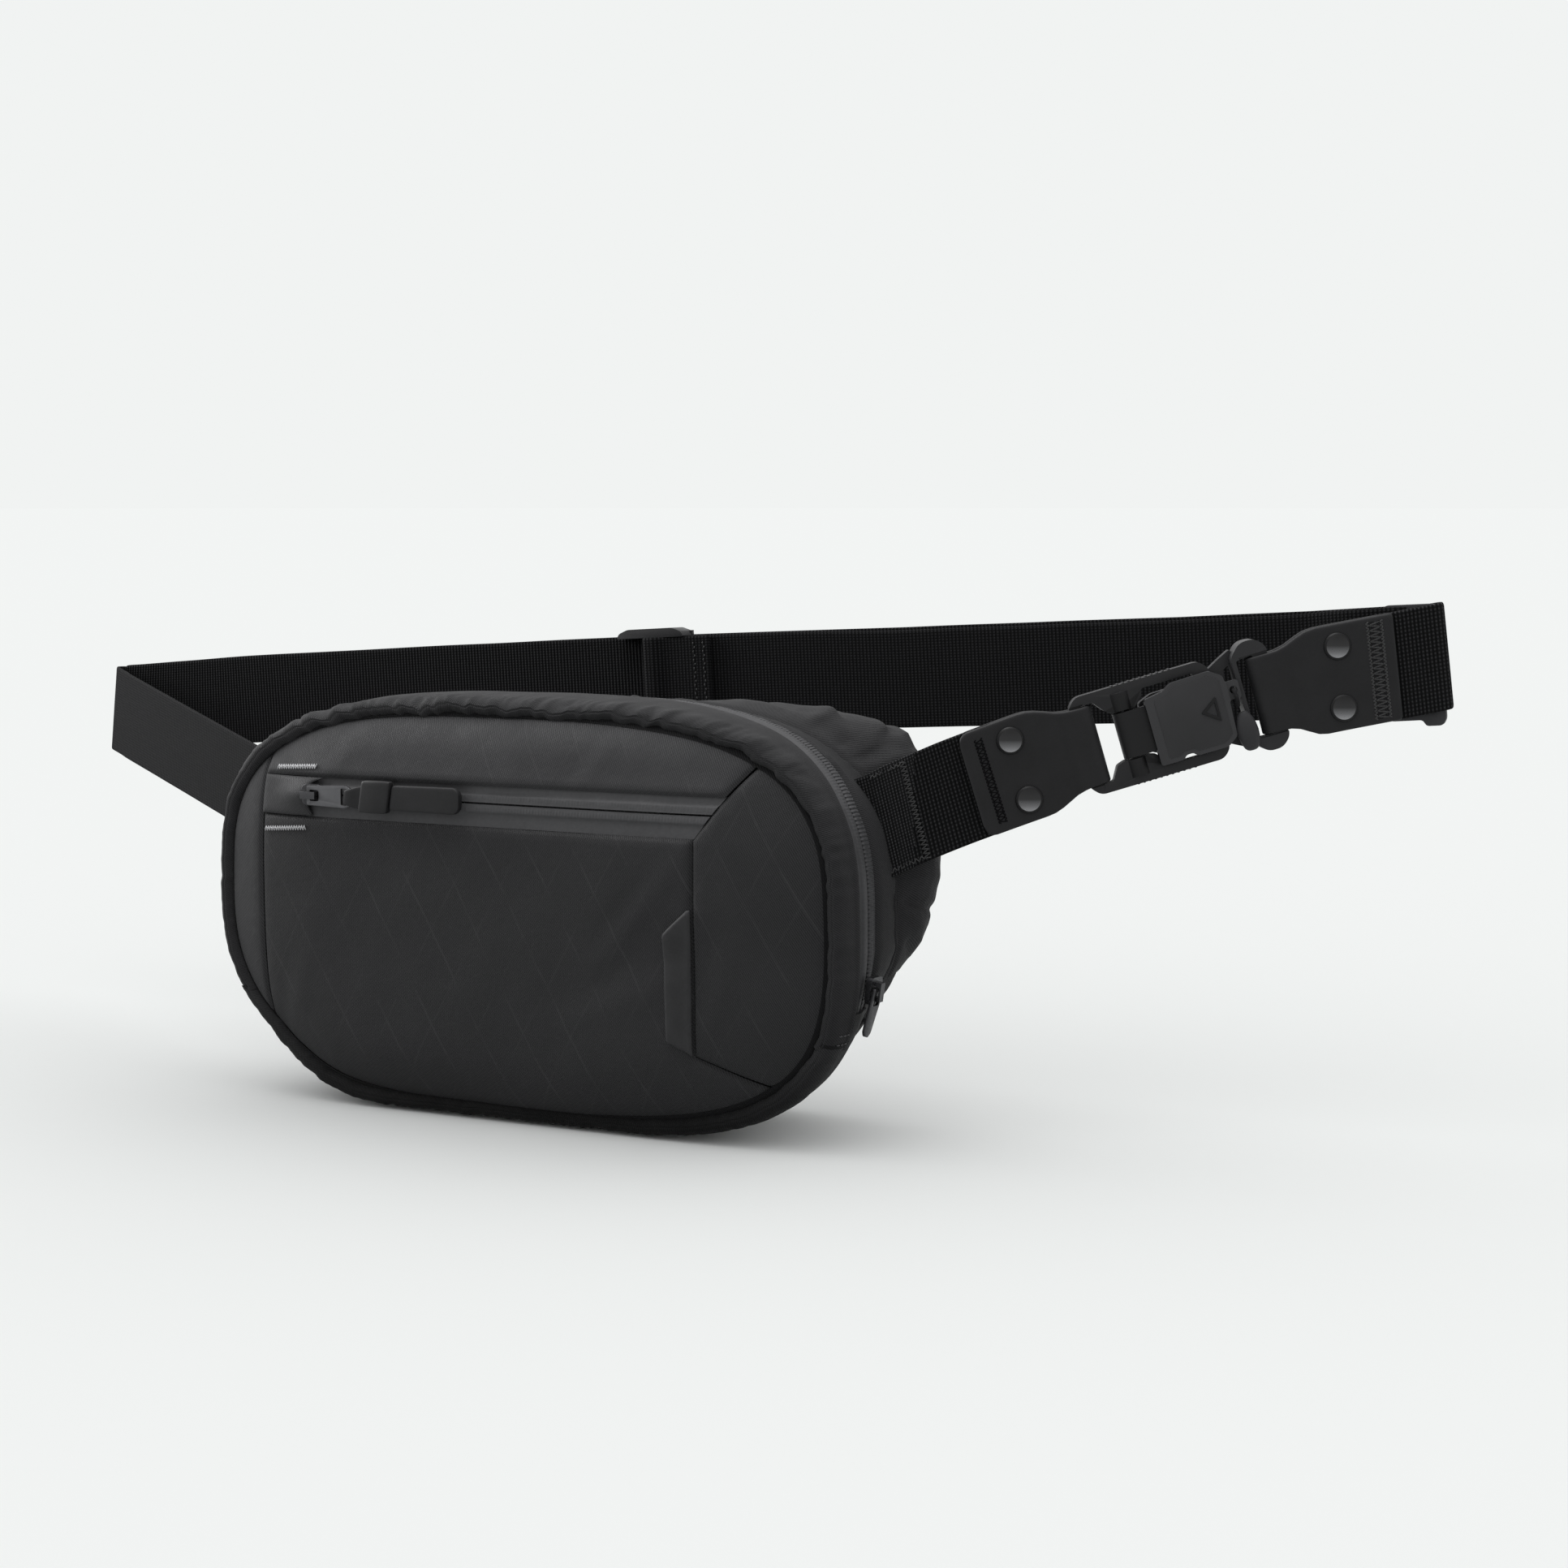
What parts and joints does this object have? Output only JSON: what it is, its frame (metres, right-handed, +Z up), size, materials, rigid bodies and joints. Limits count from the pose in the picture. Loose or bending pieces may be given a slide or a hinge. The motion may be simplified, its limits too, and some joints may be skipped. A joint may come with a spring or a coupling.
{
  "type": "sling bag",
  "caption": "Small black zipped hip and sling bag on a webbing belt with riveted tabs, a magnetic lever buckle, a tri-glide adjuster, a main zip and a front pocket zip.",
  "frame": {"origin": "on the bag's bottom face, in the middle of its width and under the bag's mid depth", "axes": "+X to the buckle side, +Y towards the wearer (back panel), +Z up"},
  "size_m": [0.638, 0.1781, 0.1956],
  "materials": {
    "body_fabric": "matt diamond-grid laminate",
    "gusset_fabric": "matt twill",
    "zip_tape": "coated water-resistant tape",
    "webbing": "ribbed nylon webbing",
    "rubberised_tab": "smooth rubberised sheet",
    "buckle_plastic": "fine-textured moulding",
    "grey_plastic": "satin moulding",
    "black_metal": "satin black",
    "magnet": "plated",
    "lining": "plain weave lining",
    "foam": "closed-cell foam",
    "grey_thread": "bonded thread"
  },
  "bodies": {
    "bag_rear": {"back_panel": "gusset_fabric", "back_foam_pad": "foam", "back_lining": "lining", "rear_gusset": "gusset_fabric", "base_gusset_rear": "gusset_fabric", "main_zip_tape_rear": "zip_tape", "wing_right": "gusset_fabric", "wing_left": "gusset_fabric"},
    "front_shell": {"front_gusset": "gusset_fabric", "base_gusset_front": "gusset_fabric", "main_zip_tape_front": "zip_tape", "front_panel_main": "body_fabric", "front_panel_top": "body_fabric", "front_panel_left": "body_fabric", "front_panel_right": "body_fabric", "pocket_zip_tape_lower": "zip_tape", "pocket_zip_tape_upper": "zip_tape", "zip_garage": "body_fabric", "side_label": "rubberised_tab", "bartack_upper": "grey_thread", "bartack_lower": "grey_thread", "pocket_liner": "lining"},
    "pocket_zip": {"pocket_slider": "black_metal"},
    "pocket_pull": {"pocket_pull": "black_metal", "pull_ribbon": "webbing", "pull_keeper": "rubberised_tab"},
    "pocket_tab": {"pull_tab": "rubberised_tab"},
    "main_zip": {"main_slider": "black_metal"},
    "main_pull": {"main_pull": "black_metal"},
    "buckle_strap": {"stub_webbing": "webbing", "tab_left": "rubberised_tab", "rivet_left_upper": "black_metal", "rivet_left_lower": "black_metal", "buckle_base": "buckle_plastic", "lever_pin": "black_metal"},
    "lever": {"buckle_lever": "buckle_plastic", "magnet_lever": "magnet"},
    "lever_toggle": {"lever_cord": "webbing", "lever_knob": "buckle_plastic"},
    "belt": {"long_webbing": "webbing", "strap_ring": "grey_plastic", "short_webbing": "webbing"},
    "clasp": {"tab_right": "rubberised_tab", "rivet_right_upper": "black_metal", "rivet_right_lower": "black_metal", "buckle_hook": "buckle_plastic", "magnet_hook": "magnet"},
    "adjuster": {"triglide": "buckle_plastic", "webbing_tail": "webbing"}
  },
  "joints": [
    {"name": "mouth_open", "type": "hinge", "parent": "bag_rear", "child": "front_shell", "pos_m": [0, -0.018, 0], "axis": [1, 0, 0], "range_deg": [0, 16]},
    {"name": "main_zip_travel", "type": "hinge", "parent": "bag_rear", "child": "main_zip", "pos_m": [0.0047, -0.018, 0.0775], "axis": [0, -1, 0], "range_deg": [0, 28]},
    {"name": "main_pull_swing", "type": "hinge", "parent": "main_zip", "child": "main_pull", "pos_m": [0.14118, -0.018, 0.05776], "axis": [0, -1, 0], "range_deg": [0, 80]},
    {"name": "pocket_zip_travel", "type": "slide", "parent": "front_shell", "child": "pocket_zip", "axis": [1, 0, 0], "range_m": [0, 0.155]},
    {"name": "pocket_pull_swing", "type": "hinge", "parent": "pocket_zip", "child": "pocket_pull", "pos_m": [-0.08345, -0.04908, 0.1181], "axis": [0, 0, -1], "range_deg": [0, 75]},
    {"name": "pocket_tab_swing", "type": "hinge", "parent": "pocket_pull", "child": "pocket_tab", "pos_m": [-0.0452, -0.04903, 0.1181], "axis": [0, 0, -1], "range_deg": [0, 35]},
    {"name": "buckle_strap_swing", "type": "hinge", "parent": "bag_rear", "child": "buckle_strap", "pos_m": [0.1361, 0.0013, 0.1145], "axis": [0, 0, -1], "range_deg": [0, 35]},
    {"name": "lever_open", "type": "hinge", "parent": "buckle_strap", "child": "lever", "pos_m": [0.20638, 0.04694, 0.1455], "axis": [0.2354, 0.1529, -0.9598], "range_deg": [0, 70]},
    {"name": "lever_toggle_swing", "type": "hinge", "parent": "lever", "child": "lever_toggle", "pos_m": [0.23908, 0.06293, 0.16127], "axis": [-0.805, -0.5227, -0.2807], "range_deg": [0, 25]},
    {"name": "belt_swing", "type": "hinge", "parent": "bag_rear", "child": "belt", "pos_m": [-0.1361, 0.0013, 0.1055], "axis": [0, 0, 1], "range_deg": [0, 10]},
    {"name": "clasp_swing", "type": "hinge", "parent": "belt", "child": "clasp", "pos_m": [0.2879, 0.09988, 0.1695], "axis": [0, 0, -1], "range_deg": [0, 12]},
    {"name": "strap_adjust", "type": "slide", "parent": "belt", "child": "adjuster", "axis": [0.9976, -0.0271, 0.0631], "range_m": [-0.02, 0.055]}
  ],
  "couplings": [
    {"joint": "mouth_open", "follows": "main_zip_travel", "ratio": 0.57142}
  ]
}
